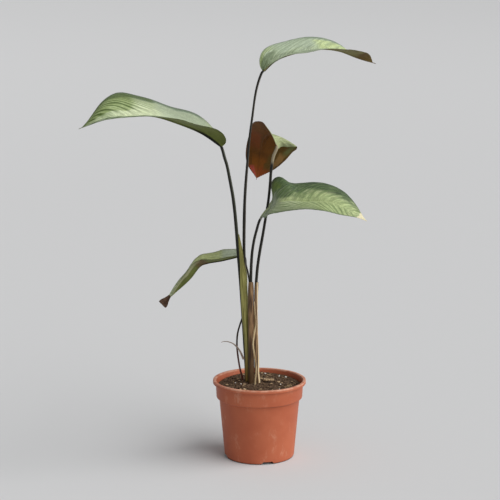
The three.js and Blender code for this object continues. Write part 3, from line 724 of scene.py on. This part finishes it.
def sheath_skin(name, body, light, dark, edge, margins=(0.8, 0.8), roughness=0.5, foot=None, painted_lit_stripe=None):
    """Lengthwise fibres over a sheath, thin edges of another colour, margins giving their strength at
    the start and end, a foot that is a colour and the t over which it fades, and a stripe of painted
    highlight, the lit side toward the key light, from low to high across."""
    f = Finish(name, roughness)
    t, across, _ = f.attribute("sheath")
    fibres = f.streaks(t, 9, across, 14, 5, 0.65)
    bands = f.streaks(t, 4, across, 4.5, z=2)
    base = f.ramp(fibres, 0.4, 0.62, body, light)
    if foot:
        height = f.plus(t, f.times(f.plus(f.noise(55, f.place()), -0.5), 0.1))
        base = f.ramp(height, foot[1], foot[2], base, foot[0], 0.75, 0)
    base = f.ramp(bands, 0.48, 0.56, base, dark, end=0.85)
    # Painted highlight: a pale stripe of the edge colour over the side that faces the key light.
    if painted_lit_stripe:
        base = f.blend(f.times(f.window(across, *painted_lit_stripe, 0.1), 0.85), base, edge)
    base = f.ramp(across, -0.97, -0.86, base, edge, margins[0], 0)
    base = f.ramp(across, 0.86, 0.97, base, edge, end=margins[1])
    return f.done(base, f.bump(fibres, 0.0004, 0.7))


SHEATH_LOOKS = {
    "green": {"body": "8b874a", "light": "a8a362", "dark": "66612f", "edge": "8f8b50", "margins": (0, 0.5),
              "foot": ("94793f", 0.16, 0.42)},
    "brown": {"body": "6c5037", "light": "a08059", "dark": "35231a", "edge": "2e2015", "margins": (0, 0.9),
              "foot": ("4a351d", 0.4, 0.72)},
    "straw": {"body": "745438", "light": "a58861", "dark": "3a261a", "edge": "dcc7a0", "margins": (0, 1),
              "painted_lit_stripe": (-0.28, 0.12), "roughness": 0.65},
    "strip": {"body": "b59c72", "light": "d8c69e", "dark": "77593a", "edge": "d8c69e", "margins": (0.5, 0.8),
              "roughness": 0.65},
}


def stalk_sheath(label, rows, columns, thickness):
    """A sheath: level arcs round its axis, centre + radius (cos, sin), with low lengthwise ribs, and
    a second grid inside it by the thickness, which thins to the edges."""
    sheath = SHEATHS[label]
    x, y, _ = sheath["points"][0]
    path = smooth_path([[x, y, STALK_FOOT]] + sheath["points"], rows)
    t = np.linspace(0, 1, rows)[:, None]
    across = np.linspace(-1, 1, columns)[None]
    start, end = along(sheath["from"], t), along(sheath["to"], t)
    turn = np.radians(start + (end - start) * (across + 1) / 2)
    ribs = 0.05 * np.sin(across * 31 + 2 * np.sin(t * 9)) + 0.06 * np.sin(t * 40 + across * 3)
    outer = along(sheath["radii"], t) + ribs
    inner = outer - thickness * (1 - 0.6 * np.abs(across) ** 4)
    walls = [path[:, None] + ring(radius, turn, 0) * MM for radius in (outer, inner)]
    skin = sheath_skin("sheath_" + label, **SHEATH_LOOKS[label])
    sheath_piece(label + "_sheath", walls, t, across, skin, "sheath_" + label)


def sheath_piece(name, walls, t, across, skin, node):
    """A closed sheet between two walls, whose attribute gives t along it and a across it."""
    points, faces, _ = slab(*walls)
    values = together(t, across, 0).reshape(-1, 3)
    new_piece(name, points, faces, [skin], node, attribute=("sheath", np.tile(values, (2, 1))))


def dried_sliver(thickness=0.35):
    """The curled dry end of an old sheath, a narrow blade with its halves bent back."""
    grid, t, across, _ = blade_surface(SLIVER, 60, 9, rib_width=(0.9, 0.3))
    lower = grid - grid_normals(grid) * (thickness * MM)
    skin = sheath_skin("dried_sheath", "8c7c70", "b0a294", "5a4a40", "b5a898", roughness=0.75)
    sheath_piece("dried_sliver", (grid, lower), t, across, skin, "sheath_sliver")


def terracotta_plastic():
    """Satin moulded plastic with faint mottling, pale dusty scuffs, a pale band round the top of the lip
    that is painted highlight and dust, and painted shade, near black, on the underside inside the foot ring."""
    f = Finish("terracotta_plastic")
    place, height = f.place(), f.height()
    cloud = f.noise(22, place, 4)
    base = f.ramp(cloud, 0.3, 0.7, "a8573a", "b46344")
    scuffs = f.noise(1, f.stretch(place, (90, 90, 45)), 6, 0.7)
    dust = f.times(f.step(scuffs, 0.52, 0.72), f.step(cloud, 0.45, 0.6))
    base = f.blend(f.times(dust, 0.4), base, "d3a286")
    # Painted highlight with dust: a pale, broken band round the top of the lip, where the rounded edge
    # catches the light.
    lip_highlight_and_dust = f.step(f.noise(70, place, 4), 0.4, 0.6, 0.2, 0.7)
    base = f.blend(f.times(f.step(height, 0.0985, 0.1005), lip_highlight_and_dust), base, "dba98f")
    # Painted shade: the underside inside the foot ring, up to 4.6 mm high, is painted near black, as shade
    # in the hollow under the pot.
    out = f.node("VectorMath", {0: f.stretch(place, (1, 1, 0))}, operation="LENGTH")["Value"]
    inside = f.step(out, 0.0442, 0.045, 1, 0)
    base = f.blend(f.times(f.step(height, 0.0038, 0.0046, 1, 0), inside), base, "24140e")
    grain = f.noise(900, place, 2)
    return f.done(base, f.bump(grain, 0.0001, 0.25), f.step(cloud, 0.3, 0.7, 0.45, 0.6))


def pot_profile():
    """The pot's section as (radius, height) in mm, from the middle of the underside round the outside,
    over the lip and down the inside to the middle of the floor. Corners are rounded by short arcs."""
    foot, body, collar, seam = POT["foot"], POT["body"], POT["collar"], POT["collar_bottom"]
    top, lip, under, wall, floor = POT["height"], POT["lip"], POT["underside"], POT["wall"], POT["floor"]
    lip_foot, inner = top - POT["lip_depth"], collar - wall - 0.1
    grow = (body - foot) / (seam - 4.6)
    body_rows = [(foot + grow * (z - 2.4), z, 0) for z in (4.6, 5.2, 8, 16, 32, 50, 66)]
    corners = [
        (0, 0, 0), (10.4, 0, 0.4), (12, under, 0.6), (37, under, 0.6), (38.4, 0, 0.3), (foot - 1, 0, 0.8),
        (foot, 2.4, 0.8), *body_rows, (body, seam - 2.2, 1), (collar - 0.9, seam - 0.6, 0.8),
        (collar, lip_foot, 0.5), (lip, lip_foot, 0.8), (lip, top, 0.9), (lip - 3.7, top, 0.7),
        (inner, top - 6, 1.5), (inner - 0.9, seam + 0.4, 1), (body - wall, seam - 2.6, 1),
        (foot - wall, floor, 1.5), (0, floor, 0),
    ]
    outline = []
    for k, (r, z, fillet) in enumerate(corners):
        here = np.array([r, z], float)
        if fillet == 0:
            outline.append(here[None])
            continue
        to_before = np.array(corners[k - 1][:2]) - here
        to_after = np.array(corners[k + 1][:2]) - here
        reach = min(fillet, 0.45 * np.linalg.norm(to_before), 0.45 * np.linalg.norm(to_after))
        s = np.linspace(0, 1, 5)[:, None]
        start, end = here + unit(to_before) * reach, here + unit(to_after) * reach
        outline.append((1 - s) ** 2 * start + 2 * s * (1 - s) * here + s ** 2 * end)
    return np.vstack(outline)


def pot_shell(sides=240):
    """The pot: its section turned round Z. The foot ring's lowest points rise to the underside in four
    notches with sloping sides."""
    outline = pot_profile()
    turn = full_turn(sides)
    radius, height = outline[1:-1, :1], outline[1:-1, 1:]
    quarter = (np.degrees(turn) - NOTCH_DEGREES + 45) % 90 - 45
    off = np.abs(np.radians(quarter)) * POT["foot"]
    notch = np.clip((8.2 - off) / 1.8, 0, 1) * POT["underside"]
    on_foot = (radius > 37.5) & (radius < POT["foot"] + 0.2)
    z = np.where(on_foot & (height < notch), notch, height)
    points, faces = loft(ring(radius, turn, z) * MM)
    return new_piece("nursery_pot", points, faces, [terracotta_plastic()], "pot")


def drain_holes(pot, sides=24):
    """Eight round holes through the pot's floor: four behind the notches, and four between them, nearer
    to the middle. A Boolean modifier cuts them and is applied."""
    hole, outer, inner = DRAIN
    plugs = []
    for k in range(8):
        middle = ring((outer, inner)[k % 2], math.radians(NOTCH_DEGREES + 45 * k), 0)
        ends = [ring(hole, full_turn(sides), z) + middle for z in (-2, POT["floor"] + 2)]
        plugs.append(loft(np.array(ends) * MM))
    mesh = new_mesh("drain_cutter", *joined(plugs))
    cutter = new_object("drain_cutter", mesh)
    cut = pot.modifiers.new("drain", "BOOLEAN")
    cut.object = cutter
    cut.solver = "EXACT"
    drained = bpy.data.meshes.new_from_object(pot.evaluated_get(bpy.context.evaluated_depsgraph_get()))
    pot.modifiers.clear()
    pot.data = drained
    drained.set_sharp_from_angle(angle=math.radians(40))
    bpy.data.objects.remove(cutter)
    bpy.data.meshes.remove(mesh)


def soil_level(x, y):
    """The soil's height in mm, as on the solid: a low mound at the stalks, waves, a flat by the chip."""
    cx, cy, rise, reach = CLUMP
    mound = np.exp(-((x - cx) ** 2 + (y - cy) ** 2) / (2 * reach ** 2))
    waves = (0.5 * np.sin(0.61 * x + 0.8) * np.sin(0.53 * y + 0.3)
             + 0.35 * np.sin(1.07 * x - 0.83 * y) + 0.25 * np.sin(0.71 * x + 1.31 * y + 2))
    chip = np.exp(-(((x - BARK_CHIP[0]) / 9) ** 4) - ((y - BARK_CHIP[1]) / 7) ** 4)
    edge = np.clip((SOIL_RADIUS - np.hypot(x, y)) / 6, 0, 1)
    return SOIL_LEVEL - 1 + SOIL_TILT * y + edge + rise * mound + waves * (1 - chip) * edge


def crumbly_soil(name="potting_soil", dark="46362a", mid="6a5542", light="937a62"):
    """Matt soil: dark and lighter lumps, with pale specks."""
    f = Finish(name, roughness=0.95, specular=0.2)
    place = f.place()
    lumps = f.noise(320, place, 6, 0.7)
    specks = f.node("TexVoronoi", {"Scale": 700, "Vector": place})["Distance"]
    base = f.ramp(lumps, 0.35, 0.68, dark, mid)
    base = f.ramp(lumps, 0.6, 0.8, base, light, end=0.7)
    base = f.ramp(specks, 0.05, 0.16, base, light, 0.35, 0)
    return f.done(base, f.bump(lumps, 0.0008, 0.9))


def lump_heights(x, y, count=1100, seed=3):
    """Half-sunk round crumbs over the soil: at each place the highest of the crumbs' domes there."""
    draw = np.random.default_rng(seed)
    turn, far = draw.uniform(0, 2 * np.pi, count), 53 * np.sqrt(draw.uniform(0, 1, count))
    size = draw.uniform(0.5, 2.1, count) ** 1.3
    best = np.zeros_like(x)
    for cx, cy, r in zip(far * np.cos(turn), far * np.sin(turn), size):
        best = np.maximum(best, 0.55 * np.sqrt(np.clip(r * r - (x - cx) ** 2 - (y - cy) ** 2, 0, None)))
    return best


def soil_bed(sides=300, rings=90):
    """The soil: a closed turned body whose top follows the soil's level, with crumbs raised on it."""
    turn = full_turn(sides)
    far = SOIL_RADIUS * np.linspace(1, 0.004, rings)[:, None]
    x, y = far * np.cos(turn), far * np.sin(turn)
    edge = np.clip((SOIL_RADIUS - far) / 2, 0, 1)
    chip = np.exp(-(((x - BARK_CHIP[0]) / 8) ** 4) - ((y - BARK_CHIP[1]) / 6) ** 4)
    fine = 0.25 * ripple(together(x, y), 2.2, 11, 9)
    z = soil_level(x, y) + (lump_heights(x, y) + fine) * edge * (1 - chip) - 0.5 * edge
    below = [(0.5, POT["floor"] + 0.4), (POT["foot"] - POT["wall"] - 1.6, POT["floor"] + 0.4),
             (POT["body"] - POT["wall"] - 0.4, POT["collar_bottom"] - 2.4),
             (POT["collar"] - POT["wall"] - 1.5, POT["collar_bottom"] + 1.6)]
    low = np.array([ring(r, turn, h) for r, h in below])
    points, faces = loft(np.concatenate([low, together(x, y, z)]) * MM)
    new_piece("soil_bed", points, faces, [crumbly_soil()], "soil")


def pebble_mesh():
    """A round pebble of 80 faces, from an icosahedron split once."""
    made = bpy.data.meshes.new("pebble")
    ball = bmesh.new()
    bmesh.ops.create_icosphere(ball, subdivisions=2, radius=1)
    ball.to_mesh(made)
    ball.free()
    points = np.array([v.co for v in made.vertices])
    faces = np.array([p.vertices[:] for p in made.polygons])
    bpy.data.meshes.remove(made)
    return points, faces


def scatter_lumps(name, places, sizes, flatness, finish, seed, sunk=0.35):
    """Many uneven lumps in one piece: each is a pebble, stretched and dented by a ripple, turned, and
    set into the soil's surface."""
    draw = np.random.default_rng(seed)
    points, faces = pebble_mesh()
    count = len(places)
    turn = draw.uniform(0, 2 * np.pi, count)
    stretch = together(draw.uniform(0.75, 1.35, count), draw.uniform(0.6, 1, count),
                       draw.uniform(*flatness, count))
    dents = np.stack([ripple(points + k * 3.7, 1.9, seed + 1) for k in range(count)])
    body = points[None] * stretch[:, None] * (1 + 0.28 * dents[..., None]) * sizes[:, None, None]
    c, s = np.cos(turn)[:, None], np.sin(turn)[:, None]
    x = body[..., 0] * c - body[..., 1] * s + places[:, :1]
    y = body[..., 0] * s + body[..., 1] * c + places[:, 1:]
    rise = soil_level(places[:, 0], places[:, 1]) + sizes * stretch[:, 2] * (1 - 2 * sunk)
    lumps = together(x, y, body[..., 2] + rise[:, None])
    every = (np.arange(count)[:, None, None] * len(points) + faces[None]).reshape(-1, 3)
    new_piece(name, lumps.reshape(-1, 3) * MM, every, [finish])


def free_places(count, seed, reach=50.5, keep_off=((*CLUMP[:2], 11.5), (*BARK_CHIP, 8.5))):
    """Seeded random places on the soil, clear of the stalks and of the bark chip."""
    draw = np.random.default_rng(seed)
    turn, far = draw.uniform(0, 2 * np.pi, count * 2), reach * np.sqrt(draw.uniform(0, 1, count * 2))
    places = ring(far, turn, 0)[:, :2]
    free = np.all([np.hypot(places[:, 0] - x, places[:, 1] - y) > r for x, y, r in keep_off], axis=0)
    return places[free][:count]


def soil_twigs(count=46, seed=21):
    """Short bent fibres and twigs that lie on the soil."""
    draw = np.random.default_rng(seed)
    places = free_places(count, seed, 45)
    twigs = []
    for (x, y), way, bend in zip(places, draw.uniform(0, np.pi, count), draw.uniform(-0.5, 0.5, count)):
        length = draw.uniform(4, 13)
        s = np.linspace(-0.5, 0.5, 9)
        px = x + length * (s * np.cos(way) - bend * s * s * np.sin(way))
        py = y + length * (s * np.sin(way) + bend * s * s * np.cos(way))
        radius = draw.uniform(0.18, 0.42) * (1 - 0.5 * np.abs(s) * 2)
        line = together(px, py, soil_level(px, py) + 0.9)
        twigs.append(loft(tube(line, radius[:, None], 6)))
    points, faces = joined(twigs)
    f = Finish("dry_fibre", roughness=0.85, specular=0.2)
    finish = f.done(f.ramp(f.noise(240, f.place()), 0.4, 0.6, "5b412c", "a58a66"))
    new_piece("soil_twigs", points * MM, faces, [finish])


def bark_finish():
    """Dry bark with pale fibres along X and dark spots."""
    f = Finish("weathered_bark", roughness=0.9, specular=0.2)
    place = f.place()
    fibre = f.noise(1, f.stretch(place, (180, 900, 900)), 5, 0.65)
    base = f.ramp(fibre, 0.35, 0.65, "7d6248", "c4aa86")
    base = f.ramp(f.noise(500, place), 0.6, 0.75, base, "4c3828", end=0.6)
    return f.done(base, f.bump(fibre, 0.0007, 0.8))


def bark_chip(sides=84, rings=14):
    """The large chip: an uneven slab with rounded corners, dented along its grain and turned about X,
    Y and Z in that order, in the middle of its solid."""
    low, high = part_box("bark_chip")
    v = full_turn(sides)
    edge = 1 + 0.1 * np.sin(3 * v + 1) + 0.07 * np.sin(5 * v) + 0.04 * np.sin(11 * v + 2)
    shape = together(6.9 * edge * np.cos(v), 4.3 * edge * np.sin(v))
    u = np.linspace(-1, 1, rings)[:, None]
    flat = shape[None] * (1 - np.abs(u) ** 5 * 0.22)[..., None]
    dents = 0.35 * ripple(flat * [0.35, 1], 3, 31)
    z = np.sign(u) * (1.25 * np.abs(u) ** 0.7 + dents)
    points, faces = loft(np.concatenate([flat, z[..., None]], -1))
    for axis, angle in enumerate(np.radians([-6, -4, -18])):
        pair = [(axis + 1) % 3, (axis + 2) % 3]
        c, s = np.cos(angle), np.sin(angle)
        points[:, pair] = points[:, pair] @ [[c, s], [-s, c]]
    middle = (np.array(low) + np.array(high)) / 2
    new_piece("bark_chip_piece", points * MM + middle, faces, [bark_finish()], "bark_chip")


def soil_surface():
    """The soil, its loose crumbs, bits of bark, white grains and twigs."""
    soil_bed()
    draw = np.random.default_rng(5)
    crumbs = free_places(420, 17)
    scatter_lumps("soil_crumbs", crumbs, draw.uniform(0.45, 1.7, len(crumbs)), (0.6, 0.95),
                  crumbly_soil("soil_crumb", "4a392c", "6e5845", "9a8068"), 41)
    chips = free_places(34, 29, 48)
    scatter_lumps("bark_bits", chips, draw.uniform(1.3, 2.8, len(chips)), (0.25, 0.5), bark_finish(),
                  43, 0.2)
    extra = free_places(9, 33, 48)
    sizes = np.r_[np.full(len(PERLITE), 1.35), draw.uniform(0.5, 1, len(extra))]
    f = Finish("perlite_white", roughness=0.9, specular=0.2)
    white = f.done(f.blend(f.noise(700, f.place(), 4), "d9d2c6", "f1ede4"))
    scatter_lumps("perlite", np.vstack([PERLITE, extra]), sizes, (0.6, 0.9), white, 47, 0.3)
    soil_twigs()
    bark_chip()


def studio(sides=96):
    """A pale floor, a wide shallow bowl that is flat in the middle, a broad key light and a weak sky."""
    reach = np.r_[0.02, 0.5, np.linspace(2.5, 18, 24)][:, None]
    rings = ring(reach, full_turn(sides), 0.9 * (np.clip(reach - 2.5, 0, None) / 11.5) ** 2)
    k = np.arange(sides)
    middle = together(k, (k + 1) % sides, reach.size * sides)
    faces = sheet_faces(reach.size, sides, closed=True)[:, ::-1].tolist() + middle.tolist()
    mesh = new_mesh("studio_floor", np.vstack([rings.reshape(-1, 3), [[0, 0, 0]]]), faces)
    mesh.shade_smooth()
    f = Finish("pale_floor", roughness=0.9, specular=0.1)
    # Painted shade: the floor is painted a little darker as it rises, so the rising rim, which catches more
    # light, looks as bright as the flat middle.
    mesh.materials.append(f.done(f.ramp(f.height(), 0, 0.9, "d4d4d4", "cbcbcb")))
    new_object("studio_floor", mesh)

    sun = bpy.data.lights.new("soft_key", "SUN")
    sun.energy = 3.35
    sun.angle = math.radians(76)
    key = new_object("soft_key", sun)
    key.rotation_euler = (math.radians(56), 0, math.radians(65))

    bpy.context.scene.view_settings.view_transform = "Standard"
    world = bpy.data.worlds.new("studio_sky")
    world.use_nodes = True
    sky = world.node_tree.nodes["Background"].inputs
    sky["Color"].default_value = (0.82, 0.83, 0.85, 1)
    sky["Strength"].default_value = 0.38
    bpy.context.scene.world = world


def camera():
    """A 100 mm lens in front of the plant, a little higher than its top leaf, looking 9.5 degrees down."""
    lens = bpy.data.cameras.new("camera")
    lens.lens = 100
    lens.sensor_width = 36
    lens.clip_end = 60
    eye = new_object("camera", lens)
    eye.location = (-0.01215, -1.74369, 0.56191)
    eye.rotation_euler = (math.radians(80.5), 0, 0)
    bpy.context.scene.camera = eye


camera()
studio()
drain_holes(pot_shell())
soil_surface()
for label in BLADES:
    leaf_blade(label)
for label in STALKS:
    leaf_stalk(label)
stalk_sheath("green", 170, 40, 0.5)
stalk_sheath("brown", 140, 40, 0.5)
stalk_sheath("straw", 110, 20, 0.5)
stalk_sheath("strip", 150, 14, 0.45)
dried_sliver()
